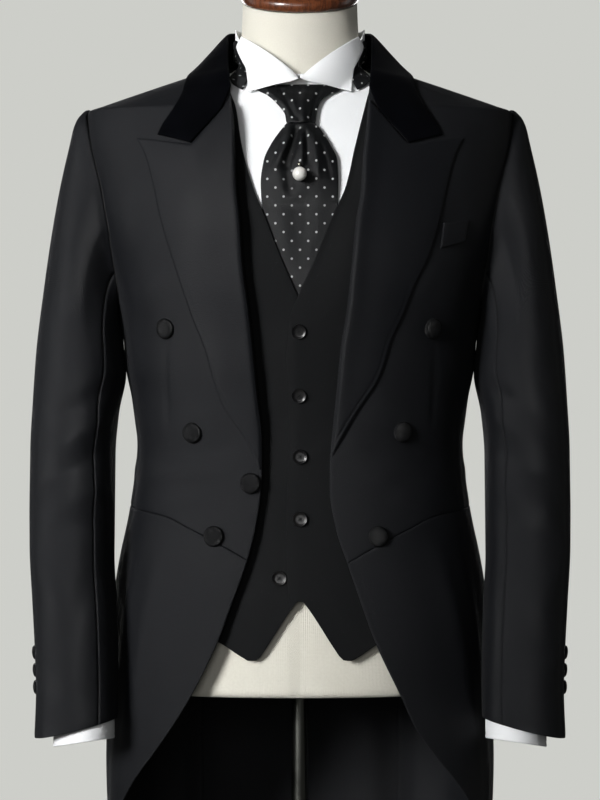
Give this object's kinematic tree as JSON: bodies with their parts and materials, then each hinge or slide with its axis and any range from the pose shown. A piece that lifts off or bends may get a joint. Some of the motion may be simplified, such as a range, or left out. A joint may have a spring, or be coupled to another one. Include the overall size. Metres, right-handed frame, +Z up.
{
  "type": "funeral suit on a dress form",
  "caption": "Black mourning tail coat with velvet collar and peaked lapels, waistcoat, wing-collar shirt and dotted ascot, worn by a limbless dress form on a pole stand.",
  "frame": {"origin": "centre of the stand's base on the surface it stands on", "axes": "+Z up along the pole, -Y the way the suit faces, +X the wearer's left"},
  "size_m": [0.546, 0.34, 1.5771],
  "materials": {
    "coat_wool": "fine black wool barathea, matt",
    "velvet": "black silk velvet",
    "waistcoat_wool": "fine black wool, matt",
    "shirt_cotton": "white starched cotton",
    "ascot_silk": "charcoal woven silk with small white dots",
    "covered_button": "buttons covered in black silk",
    "horn": "black glossy",
    "pearl": "cream pearl lustre",
    "form_cover": "cream jersey over a moulded torso",
    "wood": "turned and varnished",
    "chrome": "polished"
  },
  "bodies": {
    "root": {"ascot_band": "ascot_silk", "ascot_blade": "ascot_silk", "ascot_knot": "ascot_silk", "breast_welt": "coat_wool", "coat_button_left_1": "covered_button", "coat_button_left_2": "covered_button", "coat_button_left_3": "covered_button", "coat_button_right_1": "covered_button", "coat_button_right_2": "covered_button", "coat_button_right_3": "covered_button", "coat_button_right_4": "covered_button", "coat_left_back": "coat_wool", "coat_left_forepart": "coat_wool", "coat_left_side_body": "coat_wool", "coat_left_skirt": "coat_wool", "coat_left_top_sleeve": "coat_wool", "coat_left_under_sleeve": "coat_wool", "coat_right_back": "coat_wool", "coat_right_forepart": "coat_wool", "coat_right_side_body": "coat_wool", "coat_right_skirt": "coat_wool", "coat_right_top_sleeve": "coat_wool", "coat_right_under_sleeve": "coat_wool", "collar_stand": "shirt_cotton", "cuff_button_left_1": "covered_button", "cuff_button_left_2": "covered_button", "cuff_button_left_3": "covered_button", "cuff_button_right_1": "covered_button", "cuff_button_right_2": "covered_button", "cuff_button_right_3": "covered_button", "form_torso": "form_cover", "lapel_left": "coat_wool", "lapel_right": "coat_wool", "neck_cap": "wood", "pearl_pin": "pearl", "shirt_back": "shirt_cotton", "shirt_cuff_left": "shirt_cotton", "shirt_cuff_right": "shirt_cotton", "shirt_front": "shirt_cotton", "stand_base": "chrome", "stand_pole": "chrome", "velvet_collar": "velvet", "waistcoat_back": "waistcoat_wool", "waistcoat_button_1": "horn", "waistcoat_button_2": "horn", "waistcoat_button_3": "horn", "waistcoat_button_4": "horn", "waistcoat_button_5": "horn", "waistcoat_left_front": "waistcoat_wool", "waistcoat_right_front": "waistcoat_wool", "wing_left": "shirt_cotton", "wing_right": "shirt_cotton"}
  },
  "joints": []
}
